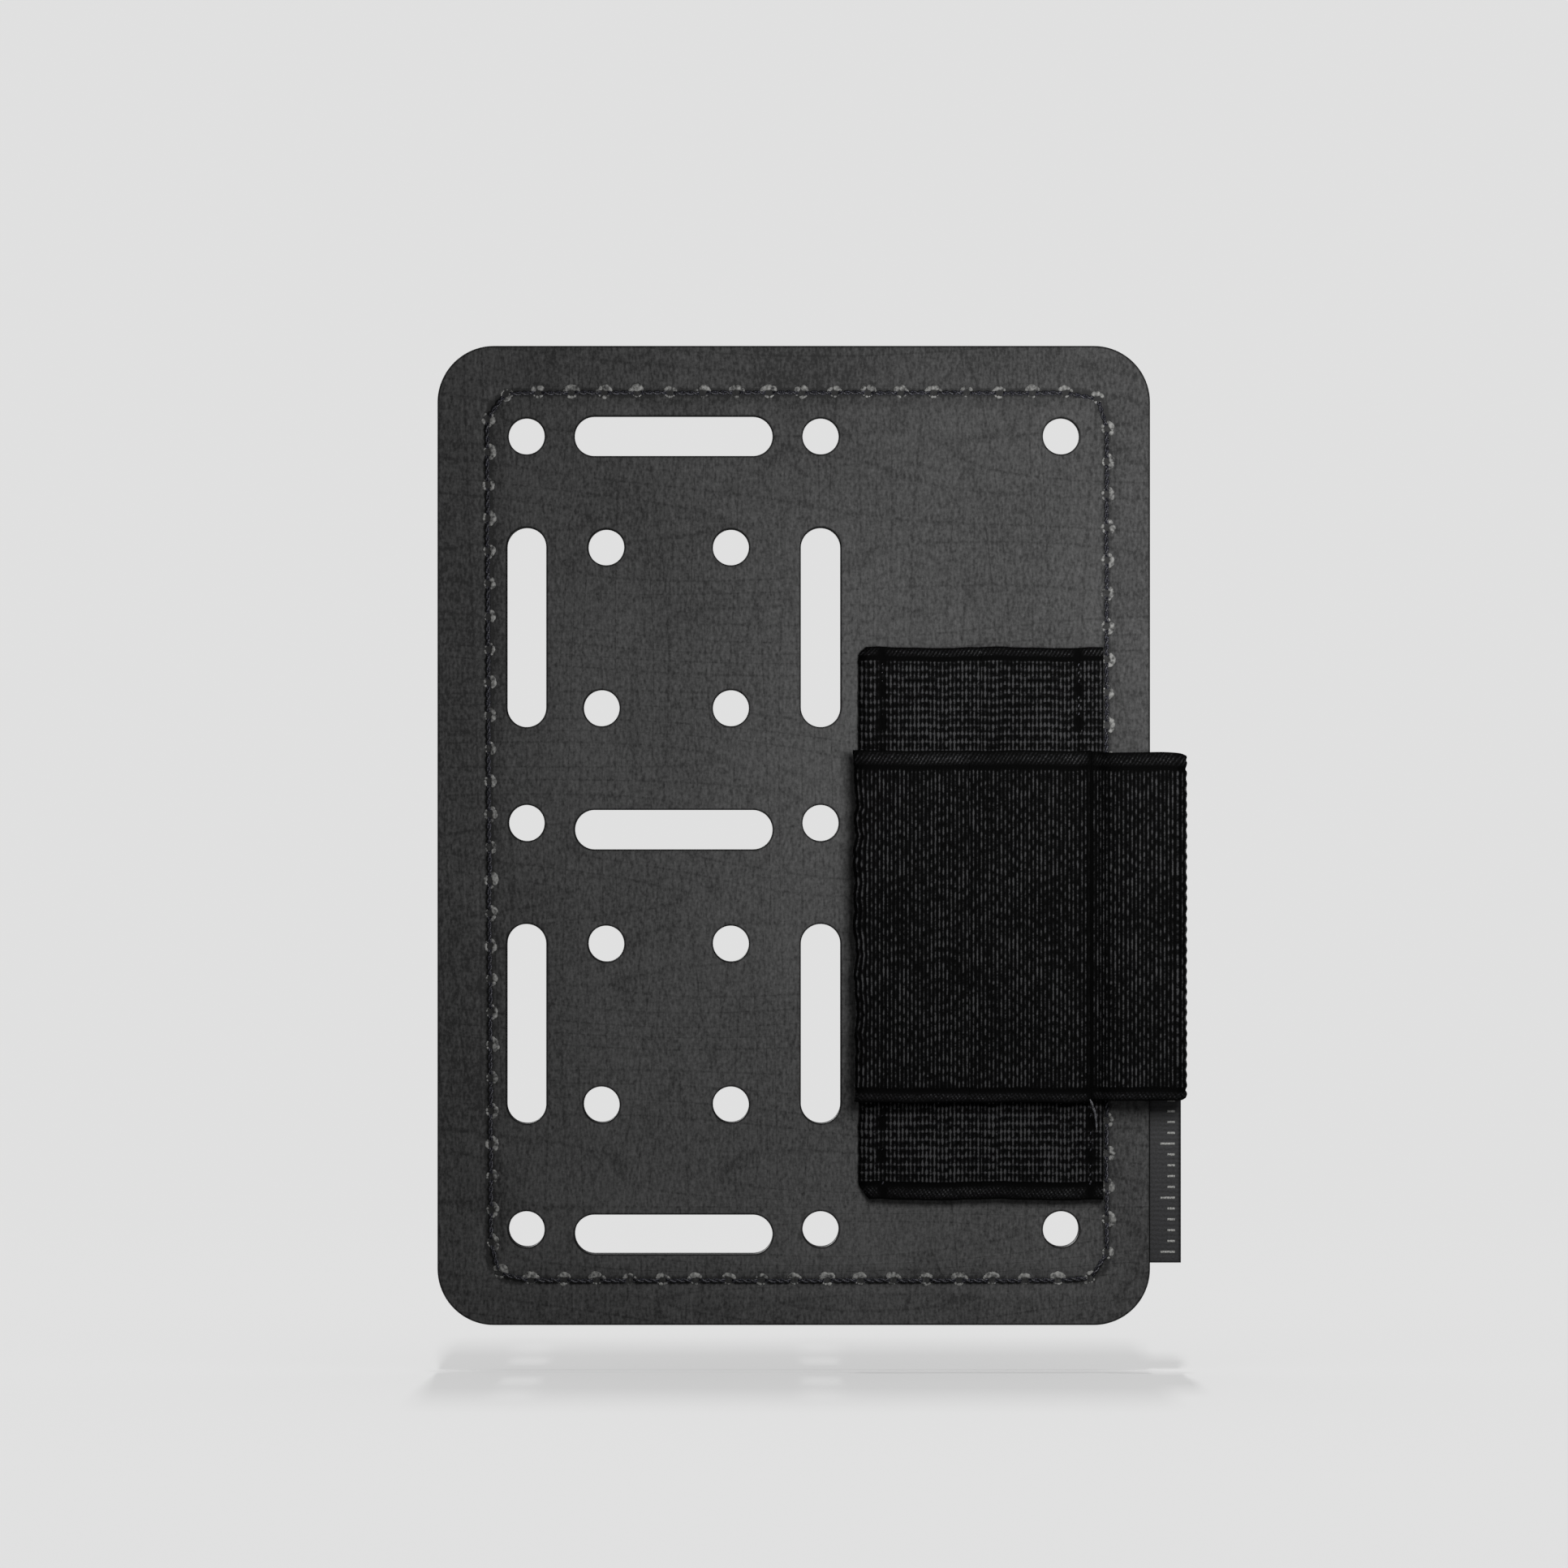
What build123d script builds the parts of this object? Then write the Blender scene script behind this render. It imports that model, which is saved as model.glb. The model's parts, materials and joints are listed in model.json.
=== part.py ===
"""Minimalist wallet: a slotted panel of three sewn sheets with two elastic sleeves, a pen loop and a label.

Millimetres. X points right and Z up as seen from the front, the front faces -Y.
The origin is the middle of the panel outline on the flat back of the card pocket.
"""

import os

from build123d import *

# ---------------------------------------------------------------- overall sizes
PANEL_W = 65.85  # panel width, left to right
PANEL_H = 90.50  # panel height
PANEL_R = 5.2  # outer corner radius of every sheet
SHEET_T = 0.8  # one sheet of coated cloth
CARD_GAP = 0.9  # space for one card between the liner and the pocket's flat back

# ---------------------------------------------------------------- cut-outs
HOLE_R = 1.67  # round holes
SLOT_W = 3.65  # width of every slot
SLOT_LEN_ACROSS = 18.3  # slots that run left to right
SLOT_LEN_UP = 18.45  # slots that run up and down
ROW_TOP_INSET = 8.35  # top edge to the centres of the top row
ROW_BOTTOM_INSET = 8.85  # bottom edge to the centres of the bottom row
COLUMN_INSET = 8.225  # side edge to the nearest column of cut-outs
COLUMN_SPAN = 27.18  # first to last column of the slotted field
PAIR_HIGH_UP = 8.07  # pair of holes above the middle of a cell
PAIR_LOW_DOWN = 6.8  # pair of holes below the middle of a cell
PAIR_HIGH_GAP = 11.52  # centre distance of the two upper holes of a cell
PAIR_LOW_GAP = 11.95  # centre distance of the two lower holes of a cell
PAIR_INSET = 8.3  # last column to the right-hand hole of each pair
UPRIGHT_SLOT_UP = 0.67  # upright slots sit this far above the middle of their cell
MIDDLE_HOLES_UP = 0.9  # middle row: how far the holes sit above the row line
MIDDLE_SLOT_UP = 0.28  # middle row: how far the slot sits above the row line
BOTTOM_SLOT_DOWN = 0.47  # bottom row: how far the slot sits below the row line

# ---------------------------------------------------------------- card pocket
POCKET_DROP = 12.25  # top edge of the panel to the open mouth of the pocket
RAMP_INSET = 0.35  # seam line to the foot of the pocket's rising wall
RAMP_SHIFT = 0.4142  # sideways shift of the inner face per sheet thickness, at the wall's 45 degree bends
RAMP_CORNER_R = 3.2  # corners of the pocket's raised back, clear of the corner stitches

# ---------------------------------------------------------------- perimeter seam
THREAD_D = 0.4  # width of a thread lying on a face
THREAD_PROUD = 0.3  # height of a thread above the face it lies on
NEEDLE_CLEAR = 0.05  # needle hole to thread, all round
STITCH_PITCH = 3.05  # aimed-for length of a perimeter stitch
STITCH_REST = 0.15  # open space between two stitches in a row
SEAM_INSET_TOP = 4.35
SEAM_INSET_BOTTOM = 4.15
SEAM_INSET_RIGHT = 4.0
SEAM_INSET_LEFT_HIGH = 4.6  # the left run leans a little: inset at its top
SEAM_INSET_LEFT_LOW = 5.0  # and at its bottom
SEAM_CORNER_R = 2.4

# ---------------------------------------------------------------- elastic sleeves
ELASTIC_T = 0.9  # one layer of elastic
SEWN_T = 0.6  # a layer of elastic pressed under a seam
LAYER_GAP = 0.1  # between layers that move apart
SIDE_GAP = 0.1  # between a stretching wall and the sewn edge beside it
SLEEVE_W = 22.7  # tall sleeve, left edge to right edge
SLEEVE_H = 51.0  # tall sleeve, 2 inch elastic
SLEEVE_RIGHT_INSET = 4.325  # panel edge to the sleeve's right edge
SLEEVE_BOTTOM_INSET = 11.65  # panel edge to the sleeve's bottom edge
SLEEVE_CORNER = 0.9  # cut-back corners on the tall sleeve's left edge
HEM_W_LEFT = 3.4  # sewn-down strip along the left edge
HEM_W_RIGHT = 3.3  # sewn-down strip along the right edge
SEAM_LEFT_INSET = 2.3  # sleeve's left edge to the left seam
SEAM_RIGHT_INSET = 1.2  # sleeve's right edge to the right seam, over the band
SEAM_RIGHT_STEP = 1.1  # the same seam sits further in above the band
SLEEVE_STITCH = 3.1  # aimed-for stitch length on the elastic

BAND_H = 32.44  # wide band, 1 1/4 inch elastic
BAND_BOTTOM_UP = 9.0  # tall sleeve's bottom edge to the band's bottom edge
BAND_LEFT_OVER = 0.6  # the band's fold passes the tall sleeve's left edge
RETURN_W = 2.95  # folded-under end of the band, beyond the fold's centre
STRIP_W = 1.5  # sewn strip of the band along the right seam
STRIP_RIGHT_INSET = 0.6  # sleeve's right edge to the strip's right edge

# ---------------------------------------------------------------- pen loop
LOOP_PAST_PANEL = 3.375  # how far the loop stands past the panel's edge
LOOP_ROOM = 1.05  # open space between the loop's two layers
LOOP_H = 32.1
LOOP_STANDOFF = 0.45  # panel face to the loop's back
LOOP_NECK = 0.7  # straight length of both layers past the hinge line
LOOP_FLARE = 1.0  # length over which the loop opens out from its neck
LOOP_EDGE_BLUNT = 1.15  # rounding of the loop's outer corners
LOOP_MOUTH_CORNER_R = 0.4  # rounding inside the hollow's two ends

# ---------------------------------------------------------------- label
LABEL_T = 0.3  # folded ribbon, both layers
LABEL_H = 25.0
LABEL_BOTTOM_UP = 5.75  # panel's bottom edge to the ribbon's bottom edge
LABEL_PAST_PANEL = 3.075
LABEL_TUCK = 5.2  # how far the ribbon's tail runs in between the sheets
LABEL_ROOT_OUT = 0.125  # how far the tail stands out before the tab begins
LABEL_RELIEF = 0.02  # clearance in each sheet over the tail

# ---------------------------------------------------------------- loose thread end
END_D = 0.3
END_PROUD = 0.02  # rest height of the loose end over the seam's stitches
END_START = 0.35  # where it leaves the seam, below the band's bottom edge
END_DROP = 2.4  # how far its tip hangs below the band
END_BEND_DROP = 1.2  # how far the bend in it hangs below the band
END_LEAN = 0.45  # sideways drift of the tip
END_BEND_LEAN = 0.15  # sideways drift of the bend

OVERCUT = 1.0  # extra length of every cutting tool past the faces it cuts

# ---------------------------------------------------------------- derived positions
left, right = -PANEL_W / 2, PANEL_W / 2
bottom, top = -PANEL_H / 2, PANEL_H / 2

pocket_back = 0.0
pocket_margin_back = pocket_back - CARD_GAP
liner_back = pocket_margin_back - SHEET_T
front_back = liner_back - SHEET_T
face = front_back - SHEET_T  # front face of the panel

pocket_top = top - POCKET_DROP

sleeve_right = right - SLEEVE_RIGHT_INSET
sleeve_left = sleeve_right - SLEEVE_W
sleeve_bottom = bottom + SLEEVE_BOTTOM_INSET
sleeve_top = sleeve_bottom + SLEEVE_H
hem_front = face - ELASTIC_T
sleeve_wall_back = face - LAYER_GAP
sleeve_wall_front = sleeve_wall_back - ELASTIC_T
hem_left_end = sleeve_left + HEM_W_LEFT
hem_right_start = sleeve_right - HEM_W_RIGHT

band_bottom = sleeve_bottom + BAND_BOTTOM_UP
band_top = band_bottom + BAND_H
band_left = sleeve_left - BAND_LEFT_OVER
return_front = hem_front - SEWN_T
band_wall_back = return_front - THREAD_PROUD - LAYER_GAP
band_wall_front = band_wall_back - ELASTIC_T
fold_r = (hem_front - band_wall_front) / 2
fold_x = band_left + fold_r
fold_y = hem_front - fold_r
strip_right = sleeve_right - STRIP_RIGHT_INSET
strip_left = strip_right - STRIP_W
strip_front = hem_front - ELASTIC_T
seam_left_x = sleeve_left + SEAM_LEFT_INSET
seam_right_x = sleeve_right - SEAM_RIGHT_INSET

neck_r = ELASTIC_T / 2
neck_x = strip_right + SIDE_GAP + neck_r  # hinge line of the pen loop
neck_y = hem_front - LAYER_GAP - neck_r
loop_back = face - LOOP_STANDOFF
loop_front = loop_back - 2 * ELASTIC_T - LOOP_ROOM
loop_right = right + LOOP_PAST_PANEL
loop_bottom = band_bottom + (BAND_H - LOOP_H) / 2

label_r = LABEL_T / 2
label_y = front_back  # the ribbon lies on the line between front sheet and liner
label_bottom = bottom + LABEL_BOTTOM_UP
label_tail_end = right + LABEL_ROOT_OUT
label_x = label_tail_end + SIDE_GAP + label_r  # hinge line of the label tab
label_right = right + LABEL_PAST_PANEL


# ---------------------------------------------------------------- helpers
def slab(outline, back, thickness):
    """Extrude an X-Z outline from its back face towards the front."""
    return extrude(Plane.XZ.offset(-back) * outline, thickness)


def box(x0, x1, y_front, y_back, z0, z1):
    """Box between two corners."""
    return Pos((x0 + x1) / 2, (y_front + y_back) / 2, (z0 + z1) / 2) * Box(
        x1 - x0, y_back - y_front, z1 - z0
    )


def rod(x, z, radius, y_front, y_back):
    """Round rod along Y."""
    return Pos(x, (y_front + y_back) / 2, z) * Rot(90, 0, 0) * Cylinder(radius, y_back - y_front)


def column(outline_xy, z0, height):
    """Extrude an X-Y outline upwards from z0."""
    return extrude(Plane.XY.offset(z0) * outline_xy, height)


def group(solids):
    """One node out of many separate solids."""
    return Compound(children=[s if isinstance(s, Solid) else s.solid() for s in solids])


# ---------------------------------------------------------------- cut-out pattern
row_top = top - ROW_TOP_INSET
row_bottom = bottom + ROW_BOTTOM_INSET
row_middle = (row_top + row_bottom) / 2
column_left = left + COLUMN_INSET
column_right = column_left + COLUMN_SPAN
column_middle = (column_left + column_right) / 2
column_far = right - COLUMN_INSET
cells = [(row_top + row_middle) / 2, (row_middle + row_bottom) / 2]

round_holes = [(x, z) for z in (row_top, row_bottom) for x in (column_left, column_right, column_far)]
round_holes += [(x, row_middle + MIDDLE_HOLES_UP) for x in (column_left, column_right)]
pair_right = column_right - PAIR_INSET
for cell in cells:
    round_holes += [(x, cell + PAIR_HIGH_UP) for x in (pair_right - PAIR_HIGH_GAP, pair_right)]
    round_holes += [(x, cell - PAIR_LOW_DOWN) for x in (pair_right - PAIR_LOW_GAP, pair_right)]

pattern = Sketch() + [Pos(x, z) * Circle(HOLE_R) for x, z in round_holes]
slot_rows = (row_top, row_middle + MIDDLE_SLOT_UP, row_bottom - BOTTOM_SLOT_DOWN)
pattern += [Pos(column_middle, z) * SlotOverall(SLOT_LEN_ACROSS, SLOT_W) for z in slot_rows]
pattern += [
    Pos(x, cell + UPRIGHT_SLOT_UP) * Rot(0, 0, 90) * SlotOverall(SLOT_LEN_UP, SLOT_W)
    for cell in cells
    for x in (column_left, column_right)
]

# ---------------------------------------------------------------- perimeter seam line
seam_corners = [
    (left + SEAM_INSET_LEFT_LOW, bottom + SEAM_INSET_BOTTOM),
    (right - SEAM_INSET_RIGHT, bottom + SEAM_INSET_BOTTOM),
    (right - SEAM_INSET_RIGHT, top - SEAM_INSET_TOP),
    (left + SEAM_INSET_LEFT_HIGH, top - SEAM_INSET_TOP),
]
seam_line = FilletPolyline(*seam_corners, radius=SEAM_CORNER_R, close=True)
stitch_count = round(seam_line.length / STITCH_PITCH)
perimeter = [seam_line @ (i / stitch_count) for i in range(stitch_count)]
perimeter = [(p.X, p.Y) for p in perimeter]


def upright_seam(x_of, z0, z1):
    """Needle points of a straight seam from z1 down to z0."""
    count = round((z1 - z0) / SLEEVE_STITCH)
    heights = [z1 - (z1 - z0) * i / count for i in range(count + 1)]
    return [(x_of(z), z) for z in heights]


stitch_margin = 2 * THREAD_D
seam_left = upright_seam(lambda z: seam_left_x, sleeve_bottom + stitch_margin, sleeve_top - stitch_margin)
seam_right = upright_seam(
    lambda z: seam_right_x if z < band_top else seam_right_x - SEAM_RIGHT_STEP,
    sleeve_bottom + stitch_margin,
    sleeve_top - stitch_margin,
)

needle_r = THREAD_D / 2 + NEEDLE_CLEAR


def needle_tools(points):
    """Cutting rods for the needle holes of one seam, through every layer."""
    return [rod(x, z, needle_r, band_wall_front - OVERCUT, pocket_back + OVERCUT) for x, z in points]


perimeter_tools = needle_tools(perimeter)
sleeve_tools = needle_tools(seam_left + seam_right)


def stitch(start, end, on, side, leg_end):
    """One stitch: a bar lying on the face at y = on, and a leg down into the needle hole at its start.

    side is -1 for a stitch on the front of its layers and +1 for one on the back.
    """
    a, b = Vector(*start), Vector(*end)
    along = (b - a).normalized()
    run = (b - a).length - THREAD_D - STITCH_REST
    middle = a + along * (run / 2)
    angle = along.get_signed_angle(Vector(1, 0, 0), Vector(0, 0, -1))
    outline = Pos(middle.X, middle.Y) * Rot(0, 0, angle) * SlotOverall(run + THREAD_D, THREAD_D)
    back = on if side < 0 else on + THREAD_PROUD
    bar = slab(outline, back, THREAD_PROUD)
    leg_top = on + side * THREAD_PROUD / 2
    leg = rod(start[0], start[1], THREAD_D / 2, min(leg_top, leg_end), max(leg_top, leg_end))
    return (bar + leg).solid()


def seam_stitches(points, on, side, leg_end, closed=False):
    """All stitches of one seam; on and leg_end are functions of the two needle points' heights.

    An open seam ends in a plain leg that fills its last needle hole.
    """
    ends = points[1:] + points[:1] if closed else points[1:]
    stitches = [stitch(a, b, on(a[1], b[1]), side, leg_end(a[1], b[1])) for a, b in zip(points, ends)]
    if not closed:
        x, z = points[-1]
        head, foot = on(z, z) + side * THREAD_PROUD, leg_end(z, z)
        stitches.append(rod(x, z, THREAD_D / 2, min(head, foot), max(head, foot)))
    return stitches


# ---------------------------------------------------------------- sheets
outline = RectangleRounded(PANEL_W, PANEL_H, PANEL_R)
sheet = outline - pattern

label_relief = box(
    right - LABEL_TUCK - LABEL_RELIEF,
    right + OVERCUT,
    label_y - label_r - LABEL_RELIEF,
    label_y + label_r + LABEL_RELIEF,
    label_bottom - LABEL_RELIEF,
    label_bottom + LABEL_H + LABEL_RELIEF,
)

front_panel = slab(sheet, front_back, SHEET_T) - perimeter_tools - sleeve_tools - label_relief
liner_panel = slab(sheet, liner_back, SHEET_T) - perimeter_tools - sleeve_tools - label_relief


def pocket_rise(inset, y):
    """Outline of the pocket's raised back at depth y, set in from the seam and running out past the mouth."""
    (x0, z0), (x1, _), _, (x3, _) = seam_corners
    x0 = max(x0, x3)
    width, height = x1 - x0 - 2 * inset, pocket_top + OVERCUT - z0 - inset
    shape = Pos((x0 + x1) / 2, z0 + inset + height / 2) * Rectangle(width, height)
    shape = fillet(shape.vertices().group_by(Axis.Y)[0], RAMP_CORNER_R)
    return Plane.XZ.offset(-y) * shape


wall_shift = SHEET_T * RAMP_SHIFT  # so the folded sheet keeps its thickness round the bend
pocket_rise_solid = loft(
    [pocket_rise(RAMP_INSET, pocket_margin_back), pocket_rise(RAMP_INSET + CARD_GAP, pocket_back)]
)
pocket_room = loft(
    [
        pocket_rise(RAMP_INSET + wall_shift, liner_back),
        pocket_rise(RAMP_INSET + wall_shift + CARD_GAP, pocket_back - SHEET_T),
    ]
)
pocket_sheet = slab(outline, pocket_margin_back, SHEET_T) + pocket_rise_solid - pocket_room
pocket_sheet -= box(left - OVERCUT, right + OVERCUT, face, pocket_back + OVERCUT, pocket_top, top + OVERCUT)
card_pocket = pocket_sheet - slab(pattern, pocket_back + OVERCUT, CARD_GAP + SHEET_T + 2 * OVERCUT) - perimeter_tools

# ---------------------------------------------------------------- perimeter threads
leg_rest = NEEDLE_CLEAR / 2  # half the space between needle and bobbin legs


def below_pocket(z0, z1):
    return min(z0, z1) < pocket_top + THREAD_D


def perimeter_middle(z0, z1):
    return (face + (pocket_margin_back if z0 < pocket_top + THREAD_D else liner_back)) / 2


perimeter_needle_thread = group(
    seam_stitches(
        perimeter,
        lambda z0, z1: face,
        -1,
        lambda z0, z1: perimeter_middle(z0, z1) - leg_rest,
        closed=True,
    )
)
perimeter_bobbin_thread = group(
    seam_stitches(
        perimeter,
        lambda z0, z1: pocket_margin_back if below_pocket(z0, z1) else liner_back,
        1,
        lambda z0, z1: perimeter_middle(z0, z1) + leg_rest,
        closed=True,
    )
)

# ---------------------------------------------------------------- tall inner sleeve
sleeve_outline = Pos((sleeve_left + sleeve_right) / 2, (sleeve_bottom + sleeve_top) / 2) * Rectangle(
    SLEEVE_W, SLEEVE_H
)
sleeve_outline = chamfer(sleeve_outline.vertices().group_by(Axis.X)[0], SLEEVE_CORNER)


def sleeve_part(x0, x1, back):
    """The piece of the tall sleeve between two upright lines."""
    cut = Pos((x0 + x1) / 2, (sleeve_bottom + sleeve_top) / 2) * Rectangle(x1 - x0, SLEEVE_H + 2 * OVERCUT)
    return slab(sleeve_outline & cut, back, ELASTIC_T)


inner_left_hem = sleeve_part(sleeve_left, hem_left_end, face) - needle_tools(seam_left)
inner_right_hem = sleeve_part(hem_right_start, sleeve_right, face) - needle_tools(seam_right)
inner_sleeve_wall = sleeve_part(hem_left_end + SIDE_GAP, hem_right_start - SIDE_GAP, sleeve_wall_back)

# ---------------------------------------------------------------- wide outer band
fold = Pos(fold_x, fold_y) * Circle(fold_r) & Pos(fold_x - fold_r, fold_y) * Rectangle(2 * fold_r, 2 * fold_r)
fold += Pos(fold_x + RETURN_W / 2, hem_front - SEWN_T / 2) * Rectangle(RETURN_W, SEWN_T)
outer_band_fold = column(fold, band_bottom, BAND_H) - needle_tools(seam_left)

outer_band_wall = box(
    fold_x + SIDE_GAP, strip_left - SIDE_GAP, band_wall_front, band_wall_back, band_bottom, band_top
)
outer_seam_strip = box(strip_left, strip_right, strip_front, hem_front, band_bottom, band_top) - needle_tools(
    seam_right
)

# ---------------------------------------------------------------- seam threads on the elastic
def in_band(z):
    return band_bottom - THREAD_D < z < band_top + THREAD_D


def on_left(z0, z1):
    return return_front if in_band(z0) or in_band(z1) else hem_front


def on_right(z0, z1):
    return strip_front if in_band(z0) or in_band(z1) else hem_front


def sleeve_middle(z0, z1):
    return (hem_front + liner_back) / 2


left_seam_needle_thread = group(
    seam_stitches(seam_left, on_left, -1, lambda z0, z1: sleeve_middle(z0, z1) - leg_rest)
)
right_seam_needle_thread = group(
    seam_stitches(seam_right, on_right, -1, lambda z0, z1: sleeve_middle(z0, z1) - leg_rest)
)
left_seam_bobbin_thread = group(
    seam_stitches(seam_left, lambda z0, z1: liner_back, 1, lambda z0, z1: sleeve_middle(z0, z1) + leg_rest)
)
right_seam_bobbin_thread = group(
    seam_stitches(seam_right, lambda z0, z1: liner_back, 1, lambda z0, z1: sleeve_middle(z0, z1) + leg_rest)
)

# ---------------------------------------------------------------- pen loop
neck_end = neck_x + LOOP_NECK
loop_open_x = neck_end + LOOP_FLARE
loop_shape = make_face(
    Polyline(
        (neck_x, neck_y + neck_r),
        (neck_end, neck_y + neck_r),
        (loop_open_x, loop_back),
        (loop_right, loop_back),
        (loop_right, loop_front),
        (loop_open_x, loop_front),
        (neck_end, neck_y - neck_r),
        (neck_x, neck_y - neck_r),
        close=True,
    )
)
loop_shape = fillet(loop_shape.vertices().group_by(Axis.X)[-1], LOOP_EDGE_BLUNT)
loop_shape += Pos(neck_x, neck_y) * Circle(neck_r)
hollow_left, hollow_right = loop_open_x + ELASTIC_T / 2, loop_right - ELASTIC_T
hollow = Pos((hollow_left + hollow_right) / 2, (loop_back + loop_front) / 2) * RectangleRounded(
    hollow_right - hollow_left, LOOP_ROOM, LOOP_MOUTH_CORNER_R
)
pen_loop = column(loop_shape - hollow, loop_bottom, LOOP_H)

# ---------------------------------------------------------------- label ribbon
label_tail = (
    box(
        right - LABEL_TUCK,
        label_tail_end,
        label_y - label_r,
        label_y + label_r,
        label_bottom,
        label_bottom + LABEL_H,
    )
    - perimeter_tools
)
label_shape = Pos((label_x + label_right) / 2, label_y) * Rectangle(label_right - label_x, LABEL_T)
label_shape += Pos(label_x, label_y) * Circle(label_r)
label_tab = column(label_shape, label_bottom, LABEL_H)

# ---------------------------------------------------------------- loose thread end
end_r = END_D / 2
end_lift = strip_front - THREAD_PROUD - END_PROUD - end_r
end_points = [
    Vector(seam_right_x, end_lift, band_bottom - END_START),
    Vector(seam_right_x + END_BEND_LEAN, end_lift, band_bottom - END_BEND_DROP),
    Vector(seam_right_x + END_LEAN, end_lift, band_bottom - END_DROP),
]
loose_thread_end = Pos(*end_points[0]) * Sphere(end_r)
for a, b in zip(end_points, end_points[1:]):
    run = b - a
    loose_thread_end += Plane(origin=(a + b) * 0.5, z_dir=run) * Cylinder(end_r, run.length)
    loose_thread_end += Pos(*b) * Sphere(end_r)

# ---------------------------------------------------------------- export
parts = {
    "front_panel": front_panel,
    "liner_panel": liner_panel,
    "card_pocket": card_pocket,
    "perimeter_needle_thread": perimeter_needle_thread,
    "perimeter_bobbin_thread": perimeter_bobbin_thread,
    "inner_left_hem": inner_left_hem,
    "inner_right_hem": inner_right_hem,
    "inner_sleeve_wall": inner_sleeve_wall,
    "outer_band_fold": outer_band_fold,
    "outer_band_wall": outer_band_wall,
    "outer_seam_strip": outer_seam_strip,
    "left_seam_needle_thread": left_seam_needle_thread,
    "left_seam_bobbin_thread": left_seam_bobbin_thread,
    "right_seam_needle_thread": right_seam_needle_thread,
    "right_seam_bobbin_thread": right_seam_bobbin_thread,
    "loose_thread_end": loose_thread_end,
    "pen_loop": pen_loop,
    "label_tail": label_tail,
    "label_tab": label_tab,
}

os.makedirs("parts", exist_ok=True)
for name, shape in parts.items():
    export_step(shape, f"parts/{name}.step")
    extent = shape.bounding_box()
    print(
        f"{name:28s} solids {len(shape.solids()):3d}  volume {shape.volume:9.2f}  "
        f"X {extent.min.X:7.2f} {extent.max.X:7.2f}  Y {extent.min.Y:6.2f} {extent.max.Y:6.2f}  "
        f"Z {extent.min.Z:7.2f} {extent.max.Z:7.2f}"
    )
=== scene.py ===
# %% [markdown]
# # A minimalist wallet in coated cloth and woven elastic
#
# The wallet is a flat panel of three sewn sheets. Two elastic sleeves, a pen loop and a
# ribbon label are sewn to its front. The CAD model gives every size. Here the soft pieces
# get their real surfaces: ribs, woven edges, twisted thread and puckered needle holes.

# %% Load the frame
import json
import math
import random

import bmesh
import bpy
import numpy as np
from mathutils import Matrix, Vector

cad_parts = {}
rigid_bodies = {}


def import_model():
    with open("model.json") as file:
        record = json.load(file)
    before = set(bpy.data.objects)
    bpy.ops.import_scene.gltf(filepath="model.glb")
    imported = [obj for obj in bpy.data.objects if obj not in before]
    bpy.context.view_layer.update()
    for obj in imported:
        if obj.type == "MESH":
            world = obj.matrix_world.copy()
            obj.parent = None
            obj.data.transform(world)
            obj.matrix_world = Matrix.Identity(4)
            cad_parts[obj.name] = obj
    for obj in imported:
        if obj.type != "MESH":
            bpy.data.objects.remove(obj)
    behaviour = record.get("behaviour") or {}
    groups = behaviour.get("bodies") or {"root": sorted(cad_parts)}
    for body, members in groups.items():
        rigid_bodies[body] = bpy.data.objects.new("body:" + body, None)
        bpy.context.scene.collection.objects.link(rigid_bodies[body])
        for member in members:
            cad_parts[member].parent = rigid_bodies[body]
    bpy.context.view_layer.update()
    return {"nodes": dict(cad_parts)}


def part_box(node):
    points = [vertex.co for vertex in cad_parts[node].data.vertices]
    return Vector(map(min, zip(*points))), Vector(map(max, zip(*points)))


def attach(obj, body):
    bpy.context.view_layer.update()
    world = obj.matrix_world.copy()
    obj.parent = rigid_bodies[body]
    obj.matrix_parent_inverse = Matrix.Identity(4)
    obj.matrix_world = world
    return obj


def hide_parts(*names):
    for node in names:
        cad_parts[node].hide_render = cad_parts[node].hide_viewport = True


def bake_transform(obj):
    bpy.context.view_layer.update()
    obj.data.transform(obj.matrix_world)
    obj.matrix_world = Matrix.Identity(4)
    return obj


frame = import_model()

MM = 0.001
random.seed(7)
scene = bpy.context.scene

# %% [markdown]
# ## Camera
#
# A wallet is drawn flat, like a page. A long lens far away keeps the panel's sides
# parallel, so the round holes stay round at the corners of the picture.

# %% Camera
LENS, SENSOR = 250.0, 36.0
PICTURE_WIDTH = 144.9 * MM
AIM = Vector((-0.9, -3.3, 4.76)) * MM

camera = bpy.data.objects.new("camera", bpy.data.cameras.new("camera"))
scene.collection.objects.link(camera)
camera.data.lens, camera.data.sensor_width = LENS, SENSOR
camera.data.clip_start, camera.data.clip_end = 0.05, 30.0
camera.location = AIM - Vector((0, PICTURE_WIDTH * LENS / SENSOR, 0))
camera.rotation_euler = (math.radians(90), 0, 0)
scene.camera = camera
scene.view_settings.view_transform = "Standard"
print("camera stands", round(-camera.location.y, 3), "m in front")

# %% [markdown]
# ## Colours and nodes
#
# Colours are written the way a painter's chart gives them, as sRGB hex. Cycles works with
# linear light, so one function turns them. A second small function adds a shader node and
# joins it up, which keeps each material readable from top to bottom.


# %% Colour and node helpers
def linear(hex_code):
    """sRGB hex to linear RGBA."""
    parts = [int(hex_code[i : i + 2], 16) / 255 for i in (0, 2, 4)]
    return (*[p / 12.92 if p <= 0.04045 else ((p + 0.055) / 1.055) ** 2.4 for p in parts], 1.0)


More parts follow.
